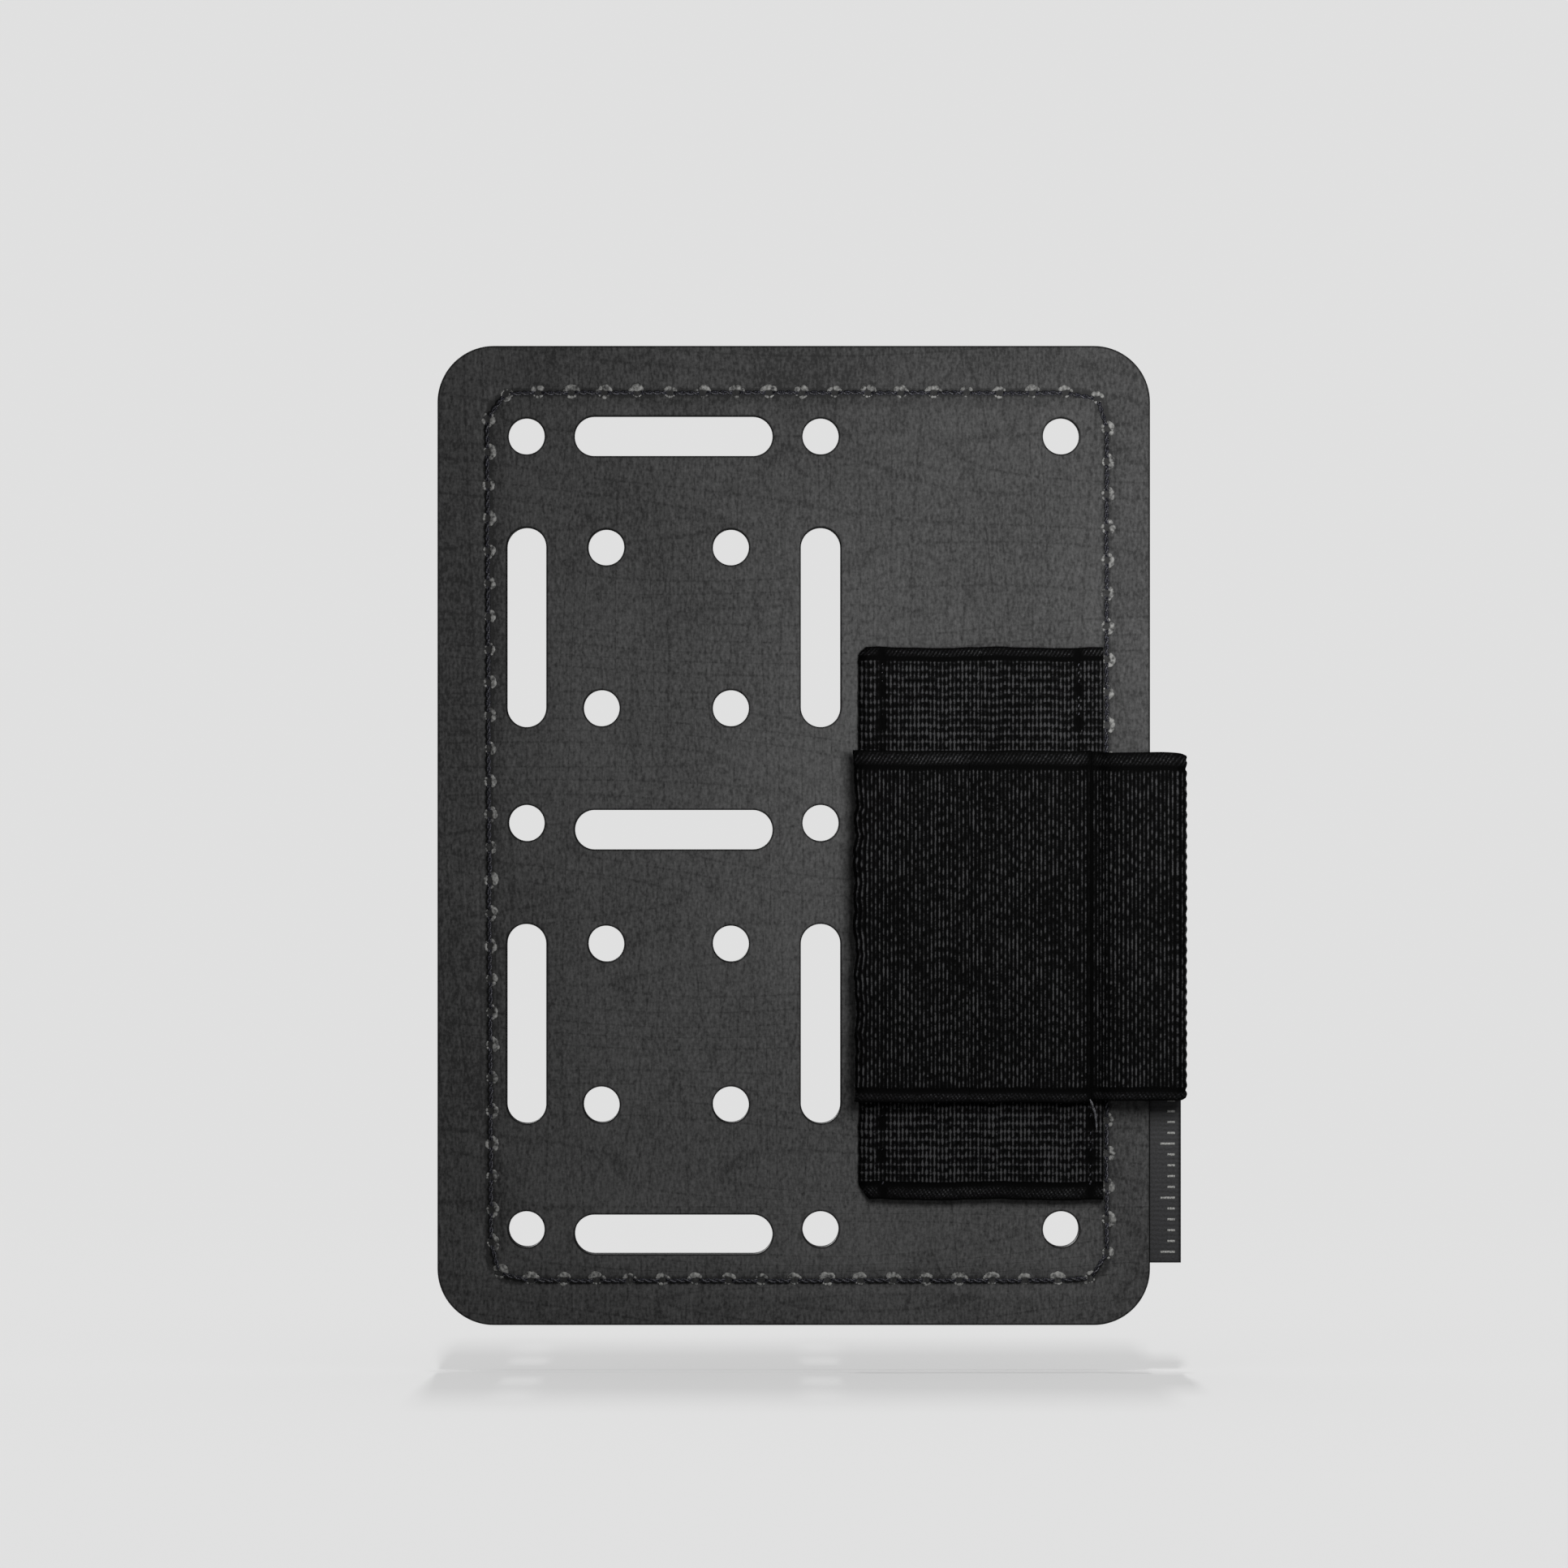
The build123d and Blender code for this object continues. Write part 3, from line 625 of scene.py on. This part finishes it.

# %% [markdown]
# ## Woven elastic
#
# Elastic webbing has rubber cords running along it, each wrapped in yarn. On the face that
# gives upright ribs a third of a millimetre wide, broken by the crossing yarn, and a rolled
# woven edge at the top and bottom. A bump map alone would look flat at this size, so the
# ribs are in the mesh: a fine grid is extruded into two layers and its front layer is
# raised and lowered. The same height is kept as an attribute, and the material paints shade
# into the gaps with it and paints the crests paler.

# %% Elastic material
elastic, tree, shader = new_material("black polyester elastic", Roughness=0.78)
shader.inputs["Specular IOR Level"].default_value = 0.03
height = add(tree, "Attribute", attribute_name="rib").outputs["Fac"]
strap_place = add(tree, "UVMap", uv_map="strap").outputs["UV"]
yarn, patch = (
    add(tree, "TexNoise", {"Vector": strap_place, "Scale": 1 / (cell * MM), "Detail": 2.0}, noise_dimensions="2D")
    for cell in (0.16, 5.0)
)
mixed = add(tree, "Math", {0: yarn, 1: 0.55, 2: -0.275}, operation="MULTIPLY_ADD")
mixed = add(tree, "Math", {0: mixed, 1: height}, operation="ADD")
mixed = add(tree, "Math", {0: patch, 1: 0.2, 2: mixed}, operation="MULTIPLY_ADD")
# painted shade and light: low rib height, in the gaps, the edge grooves and the pulled seams, is painted near
# black, and high crests paler
shaded_gaps_to_lit_crests = ((0.28, "010101"), (1.0, "353536"), (0.62, "040404"), (0.82, "121213"))
yarn_colour_and_shade = add(tree, "ValToRGB", {"Fac": mixed}, stops=shaded_gaps_to_lit_crests)
tree.links.new(yarn_colour_and_shade.outputs["Color"], shader.inputs["Base Color"])
fuzz = add(tree, "Bump", {"Height": yarn, "Strength": 0.4, "Distance": 0.04 * MM})
tree.links.new(fuzz.outputs["Normal"], shader.inputs["Normal"])

# %% Rib and edge patterns
RIB = 0.3675


def wave(value):
    """From 1 to 0 and back for each whole number."""
    return 0.5 + 0.5 * np.cos(2 * np.pi * value)


def smooth_steps(value, low, high):
    """0 below low, 1 above high, and a soft S between them."""
    t = np.clip((value - low) / (high - low), 0, 1)
    return t * t * (3 - 2 * t)


def soft_noise(value, cell, seed):
    """Smooth random curve of one variable, from -1 to 1."""
    table = np.random.default_rng(seed).uniform(-1, 1, 4096)
    place = value / cell + 500
    whole = np.floor(place).astype(int)
    part = smooth_steps(place - whole, 0, 1)
    return table[whole % 4096] * (1 - part) + table[(whole + 1) % 4096] * part


def ribbed(s, z, row, knot, run, drift):
    """Height from 0 to 1 of upright ribs.

    row is the spacing of the breaks, knot their depth and drift how far, in rows, one rib's
    breaks stray from the next one's. run is the length of an even stretch."""
    column = np.floor(s / RIB + 0.5)
    phase = drift * soft_noise(column, 1.0, 17)
    crest = wave(s / RIB) ** 0.75
    uneven = soft_noise(z + 17.31 * column, run, 11)
    broken = crest * (1 - knot + knot * wave(z / row + phase) + 0.24 * uneven)
    return broken + 0.08 * soft_noise(s + 37 * z, 0.11, 3)


def rolled_edge(height, s, z, z0, z1, width_low, width_high):
    """Replaces the ribs with a rolled, slant-wrapped edge at both borders, and a groove inside it."""
    from_low, from_high = z - z0, z1 - z
    width = np.where(from_low < from_high, width_low, width_high)
    depth = np.minimum(from_low, from_high)
    roll = np.sqrt(np.clip(1 - ((depth - width / 2) / (width / 2 + 0.05)) ** 2, 0, 1))
    wrapped = roll * (0.42 + 0.40 * wave(s / 0.37 + depth / 0.55)) + 0.08 * soft_noise(s + 11 * z, 0.13, 5)
    share = smooth_steps(depth, width - 0.05, width + 0.12)
    groove_shade = np.exp(-(((depth - width - 0.02) / 0.16) ** 2))
    return height * share + wrapped * (1 - share) - 0.75 * groove_shade


# %% [markdown]
# A strap follows a course: a few points of its middle line seen from above. The course is
# sampled finely and smoothed, so a fold becomes round. Every strap here is one grid of two
# layers, bent along its course, so its ribs keep their width round the fold.


# %% Strap builder
def course(points):
    """Samples a middle line every 0.02 mm and rounds its corners. Returns places and normals by length."""
    points = np.array(points, float)
    runs = np.r_[0, np.cumsum(np.linalg.norm(np.diff(points, axis=0), axis=1))]
    fine = np.arange(0, runs[-1], 0.02)
    line = np.c_[np.interp(fine, runs, points[:, 0]), np.interp(fine, runs, points[:, 1])]
    for _ in range(2):
        padded = np.pad(line, ((12, 12), (0, 0)), mode="reflect", reflect_type="odd")
        line = np.stack([np.convolve(padded[:, k], np.ones(25) / 25, "valid") for k in (0, 1)], axis=1)
    slope = np.gradient(line, axis=0)
    slope /= np.linalg.norm(slope, axis=1)[:, None]
    length = np.r_[0, np.cumsum(np.linalg.norm(np.diff(line, axis=0), axis=1))]
    return line, np.c_[slope[:, 1], -slope[:, 0]], length


def strap(
    name, points, z_range, relief, thickness, relief_height=0.075, across=RIB / 5, up=0.19, edge_shift=None,
):
    """A strap between two heights along a course.

    s is the length along the course. relief(s, z) runs from 0 to 1, and thickness(s) and
    edge_shift(s, z), which moves a point in x and z, are in mm."""
    line, normal, length = course(points)
    z0, z1 = z_range
    bm = bmesh.new()
    columns, rows = round(length[-1] / across), round((z1 - z0) / up)
    bmesh.ops.create_grid(bm, x_segments=columns, y_segments=rows, size=0.5)
    lifted = bmesh.ops.extrude_face_region(bm, geom=bm.faces[:], use_keep_orig=True)["geom"]
    front_verts = [v for v in lifted if isinstance(v, bmesh.types.BMVert)]
    bmesh.ops.translate(bm, verts=front_verts, vec=(0, 0, 1))
    bmesh.ops.recalc_face_normals(bm, faces=bm.faces[:])
    mesh = to_mesh(name, bm)

    co = np.empty(len(mesh.vertices) * 3)
    mesh.vertices.foreach_get("co", co)
    co = co.reshape(-1, 3)
    s, z = (co[:, 0] + 0.5) * length[-1], z0 + (co[:, 1] + 0.5) * (z1 - z0)
    front = co[:, 2] > 0.5
    rib = np.where(front, relief(s, z), 0.3)
    half = thickness(s) / 2
    out = np.where(front, half + relief_height * (rib - 0.5), -half)
    px, py = (np.interp(s, length, line[:, k]) for k in (0, 1))
    nx, ny = (np.interp(s, length, normal[:, k]) for k in (0, 1))
    if edge_shift is not None:
        shift_x, shift_z = edge_shift(s, z)
        px, z = px + shift_x, z + shift_z
    mesh.vertices.foreach_set("co", (np.c_[px + nx * out, py + ny * out, z] * MM).ravel())
    mesh.attributes.new("rib", "FLOAT", "POINT").data.foreach_set("value", rib)
    uv = mesh.uv_layers.new(name="strap")
    loops = np.empty(len(mesh.loops), int)
    mesh.loops.foreach_get("vertex_index", loops)
    uv.data.foreach_set("uv", (np.c_[s, z][loops] * MM).ravel())
    mesh.update()

    bm = bmesh.new()
    bm.from_mesh(mesh)
    bmesh.ops.recalc_face_normals(bm, faces=bm.faces[:])
    bm.to_mesh(mesh)
    bm.free()
    return put(name, mesh, elastic)


# %% [markdown]
# ## Tall inner sleeve
#
# The tall elastic is sewn down along both sides, so a tool or a roll of notes slides in
# from above. Its left edge is folded under. The seams sink into it. It is made as a left and
# a right half that meet in the middle.

# %% Tall inner sleeve
sleeve_low, sleeve_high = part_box("inner_left_hem")[0] / MM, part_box("inner_right_hem")[1] / MM
SLEEVE_MIDDLE, SLEEVE_ROW = 17.3, 0.75
SEAM_LEFT_X, SEAM_TOP_X, SEAM_X = 8.2, 26.3, 27.4
SEAM_WIDTH = 0.34


def needle_holes(z):
    """1 at the height of each needle hole of the elastic's seams, 0 half-way between two."""
    return wave((z - sleeve_high.z + 0.8) / 3.078) ** 2


def seam_pull(x, z, at_x):
    """How far a seam pulls the elastic down, deepest at its needle holes."""
    near = np.exp(-(((x - at_x - 0.06 * soft_noise(z, 1.3, 40)) / SEAM_WIDTH) ** 2))
    return near * (0.15 + 0.85 * needle_holes(z))


def sleeve_relief(start):
    """Relief of a half whose course starts at x = start: ribs crossed by rows of yarn."""
    def relief(s, z):
        x = start + s
        rows = wave(z / SLEEVE_ROW + 0.5 + 0.08 * soft_noise(s, 1.3, 31)) ** 2
        height = 0.86 * ribbed(s, z, SLEEVE_ROW, knot=0.5, run=0.4, drift=0.16) + 0.60 * rows
        height = rolled_edge(height, s, z, sleeve_low.z, sleeve_high.z, 1.45, 1.05)
        right_seam = np.where(z > band_high.z, SEAM_TOP_X, SEAM_X)
        pull = np.maximum(seam_pull(x, z, SEAM_LEFT_X), seam_pull(x, z, right_seam))
        # the pulled-down height also paints shade along the seams through the rib colour
        return height * (1 - 0.4 * pull) - 0.6 * pull
    return relief


def sleeve_shift(s_to_edge):
    """Wavy border, and the cut-back corners of the folded left edge."""
    def shift(s, z):
        edge = np.exp(-s_to_edge(s) / 1.2)
        corner_low, corner_high = z - sleeve_low.z, sleeve_high.z - z
        cut = np.clip(1 - corner_low / 1.3, 0, 1) + 0.75 * np.clip(1 - corner_high / 0.9, 0, 1) ** 1.5
        ends = smooth_steps(np.abs(z - (sleeve_low.z + sleeve_high.z) / 2), 20, 25.5)
        return edge * (0.07 * soft_noise(z, 0.9, 8) + cut), ends * 0.12 * soft_noise(s, 1.7, 4)
    return shift


left_course = [(6.15, -3.45), (6.1, -3.62), (6.75, -3.82), (10.0, -3.82), (SLEEVE_MIDDLE, -3.85)]
sleeve_left = strap(
    "inner_sleeve_left", left_course, (sleeve_low.z, sleeve_high.z), sleeve_relief(6.05),
    lambda s: 0.35 + 0.55 * smooth_steps(s, 0.0, 0.9), edge_shift=sleeve_shift(lambda s: s),
)
right_course = [(SLEEVE_MIDDLE, -3.85), (26.0, -3.82), (sleeve_high.x, -3.8)]
sleeve_right = strap(
    "inner_sleeve_right", right_course, (sleeve_low.z, sleeve_high.z), sleeve_relief(SLEEVE_MIDDLE),
    lambda s: 0.9 + 0 * s, edge_shift=sleeve_shift(lambda s: 30 + 0 * s),
)
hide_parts("inner_left_hem", "inner_sleeve_wall")
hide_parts("inner_right_hem", "inner_sleeve_wall")
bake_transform(sleeve_left)
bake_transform(sleeve_right)

# %% [markdown]
# ## Wide outer band
#
# The wide band starts folded under at its left edge, crosses the tall sleeve and sinks into
# the right-hand seam. Left of the seam it can be pulled away from the panel with the
# sleeve under it, so it is also made as two halves.

# %% Wide outer band
BAND_MIDDLE, BAND_ROW = 16.2, 0.96


def band_ribs(s, z):
    """The wide elastic is closer woven: its breaks stray, so no rows show across it."""
    return 0.92 * ribbed(s, z, BAND_ROW, knot=0.20, run=0.3, drift=7.0)


def pulled(height, pull):
    """Flattens and lowers the elastic where its seam pulls, which also paints shade there through the rib colour.
    """
    return height * (1 - 0.35 * pull) - 0.25 * pull


def band_relief(start):
    """Relief of a half whose course starts at x = start; -100 keeps it clear of the seam."""
    def relief(s, z):
        height = rolled_edge(band_ribs(s, z), s, z, band_low.z, band_high.z, 1.1, 1.55)
        near = np.exp(-(((start + s - SEAM_X) / SEAM_WIDTH) ** 2))
        return pulled(height, near * (0.7 + 0.3 * needle_holes(z)))
    return relief


def band_shift(fold_length):
    """Uneven fold, which lies at fold_length along the course, and slightly wavy borders."""
    def shift(s, z):
        near_fold = np.exp(-(((s - fold_length) / 0.8) ** 2))
        drift = 0.2 * soft_noise(z, 1.4, 21) + 0.06 * soft_noise(z, 0.5, 22)
        return near_fold * drift, 0.06 * soft_noise(s + 3, 2.4, 6)
    return shift


fold_course = [
    (9.1, -4.52), (6.5, -4.55), (5.95, -4.75), (5.75, -5.1), (5.95, -5.5), (6.5, -5.68),
    (9.6, -5.66), (12.5, -5.35), (BAND_MIDDLE, -5.2),
]
band_left = strap(
    "outer_band_left", fold_course, (band_low.z, band_high.z), band_relief(-100),
    lambda s: 0.52 + 0.36 * smooth_steps(s, 3.2, 5.2), edge_shift=band_shift(3.95),
)
seam_course = [(BAND_MIDDLE, -5.2), (24.6, -5.2), (26.2, -5.15), (SEAM_X, -4.78)]
band_right = strap(
    "outer_band_right", seam_course, (band_low.z, band_high.z), band_relief(BAND_MIDDLE),
    lambda s: 0.88 - 0.3 * smooth_steps(s, 9.6, 11.1), edge_shift=band_shift(-50),
)
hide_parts("outer_band_fold", "outer_band_wall")
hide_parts("outer_seam_strip", "outer_band_wall")
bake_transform(band_left)
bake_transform(band_right)

# %% [markdown]
# ## Pen loop
#
# Past the seam the band goes on, turns back on itself and is caught in the same seam. The
# loop lies nearly flat when no pen is in it. It is one strap whose course makes the turn.

# %% Pen loop
loop_low, loop_high = (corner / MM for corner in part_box("pen_loop"))
LOOP_TURN = 9.4


def loop_relief(s, z):
    """Relief of the loop, whose course starts at the seam."""
    height = rolled_edge(band_ribs(s, z), s, z, loop_low.z, loop_high.z, 1.0, 1.5)
    return pulled(height, np.exp(-((s / SEAM_WIDTH) ** 2)))


def loop_shift(s, z):
    """Scallops on the turned edge, and its rounded corners."""
    turn = np.exp(-(((s - LOOP_TURN) / 0.8) ** 2))
    off_middle = z - (loop_low.z + loop_high.z) / 2
    droop = -np.sign(off_middle) * np.clip((np.abs(off_middle) - 15) / 1.05, 0, 1)
    scallops = 0.05 * turn * np.cos(2 * np.pi * z / BAND_ROW)
    return scallops, 0.05 * soft_noise(s, 2.2, 13) + 0.4 * turn * droop


loop_course = [
    (SEAM_X, -4.78), (28.3, -5.0), (29.3, -5.65), (30.6, -6.02), (33.4, -6.1), (35.3, -5.9),
    (35.85, -5.3), (35.75, -4.65), (35.1, -4.28), (33.0, -4.22), (30.6, -4.22), (29.4, -4.3),
    (28.5, -4.42),
]
pen_loop = strap(
    "pen_loop_strap", loop_course, (loop_low.z, loop_high.z), loop_relief,
    lambda s: 0.5 + 0.36 * smooth_steps(s, 0.4, 2.4) - 0.42 * smooth_steps(s, 15.6, 17.6),
    edge_shift=loop_shift,
)
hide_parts("pen_loop")
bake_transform(pen_loop)

# %% [markdown]
# ## Loose thread end
#
# The right-hand seam ends in a few millimetres of thread that was never trimmed. It is the
# same twisted thread as the stitches, stretched a little and laid over the band's edge.

# %% Loose thread end
bm = bmesh.new()
bm.from_mesh(stitch_mesh)
for vert in bm.verts:
    share = vert.co.x / STITCH
    vert.co.y -= THREAD_DIVE * near_ends(vert.co.x)
    vert.co.y, vert.co.z = vert.co.y * 0.5, vert.co.z * 0.5
    vert.co.z += 0.16 * math.sin(math.pi * share)
tip, root = Vector((27.95, 0, -27.1)), Vector((27.32, 0, -24.3))
run = tip - root
stretch = Matrix.Scale(run.length / STITCH, 4, Vector((1, 0, 0)))
lean = Matrix.Rotation(-math.atan2(run.z, run.x), 4, "Y") @ stretch
bmesh.ops.transform(bm, matrix=lean, verts=bm.verts[:])
for vert in bm.verts:
    share = vert.co.z / run.z
    vert.co += Vector((root.x, -5.5 + 0.75 * smooth_steps(share, 0.15, 0.9), root.z))
bmesh.ops.transform(bm, matrix=Matrix.Scale(MM, 4), verts=bm.verts[:])
end_mesh = to_mesh("untrimmed_thread_end", bm)
pale_thread = thread.copy()
pale_thread.name = "frayed nylon thread"
pale_ramp = pale_thread.node_tree.nodes[hairs.name].color_ramp.elements
pale_ramp[0].color, pale_ramp[1].color = linear("2a2a2c"), linear("77777c")
loose_end = put("untrimmed_thread_end", end_mesh, pale_thread)
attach(loose_end, "panel")
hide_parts("loose_thread_end")

# %% [markdown]
# ## Ribbon label
#
# A narrow woven ribbon is folded in half and its ends are caught between the sheets. A real
# one carries a name. This one carries a plain scale of ticks, sewn as short satin bars, one
# each millimetre and a longer one each five.

# %% Ribbon material
ribbon, tree, shader = new_material("woven satin ribbon", Roughness=0.55)
shader.inputs["Specular IOR Level"].default_value = 0.25
ribbon_place = add(tree, "UVMap", uv_map="strap").outputs["UV"]
# a wave texture at scale 1 has a period of pi / 10 of a unit, here made two weft yarns of 0.22 mm
waves = {"Vector": ribbon_place, "Scale": math.pi / 20 / (0.22 * MM), "Distortion": 0.6, "Detail": 1.0}
weft = add(tree, "TexWave", waves, bands_direction="Y").outputs["Fac"]
specks = {"Vector": ribbon_place, "Scale": 1 / (0.2 * MM), "Detail": 3.0}
dust = add(tree, "TexNoise", specks, noise_dimensions="2D")
dusty_weft = add(tree, "Math", {0: weft, 1: 0.25, 2: dust}, operation="MULTIPLY_ADD")
satin = add(tree, "ValToRGB", {"Fac": dusty_weft}, stops=((0.35, "101011"), (1.0, "262628")))
tree.links.new(satin.outputs["Color"], shader.inputs["Base Color"])
weave = add(tree, "Bump", {"Height": dusty_weft, "Strength": 0.3, "Distance": 0.03 * MM})
tree.links.new(weave.outputs["Normal"], shader.inputs["Normal"])

# %% Ribbon
tab_low, tab_high = (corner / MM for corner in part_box("label_tab"))
ribbon_course = [
    (27.8, -2.56), (33.0, -2.56), (35.7, -2.57), (35.92, -2.5), (35.7, -2.43), (33.0, -2.44), (27.8, -2.44),
]
label = strap(
    "ribbon_label", ribbon_course, (tab_low.z, tab_high.z), lambda s, z: 0.5 + 0.3 * wave(z / 0.44),
    lambda s: 0.085 + 0 * s, relief_height=0.01, across=0.2, up=0.2,
)
label.data.materials.clear()
label.data.materials.append(ribbon)
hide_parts("label_tab", "label_tail")
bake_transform(label)

# %% Tick scale
scale_yarn, tree, shader = new_material("pale satin yarn", Roughness=0.5)
yarn_place = add(tree, "TexCoord").outputs["Object"]
strand = add(tree, "TexNoise", {"Vector": yarn_place, "Scale": 1 / (0.12 * MM), "Detail": 2.0}).outputs["Fac"]
pale = add(tree, "ValToRGB", {"Fac": strand}, stops=((0.35, "454544"), (0.65, "8f8f8c")))
tree.links.new(pale.outputs["Color"], shader.inputs["Base Color"])

bm = bmesh.new()
for number in range(23):
    reach = 1.35 if number % 5 == 0 else 0.7
    made = bmesh.ops.create_cube(bm, size=1.0)["verts"]
    centre = Matrix.Translation((35.25 - reach / 2, -2.61, tab_low.z + 1.0 + number))
    bar = centre @ Matrix.Diagonal((reach, 0.05, 0.2, 1))
    bmesh.ops.transform(bm, matrix=Matrix.Scale(MM, 4) @ bar, verts=made)
bmesh.ops.bevel(
    bm, geom=bm.edges[:], offset=0.02 * MM, segments=2, profile=0.5, affect="EDGES", material=-1,
)
tick_mesh = to_mesh("ribbon_tick_scale", bm)
ticks = put("ribbon_tick_scale", tick_mesh, scale_yarn)
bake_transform(ticks)

# %% [markdown]
# ## Finish
#
# The wallet's own lamps are pointed at every piece.

# %% Finish
for thing in scene.objects:
    if thing.type == "MESH" and thing is not cove:
        lit_by_boxes.objects.link(thing)
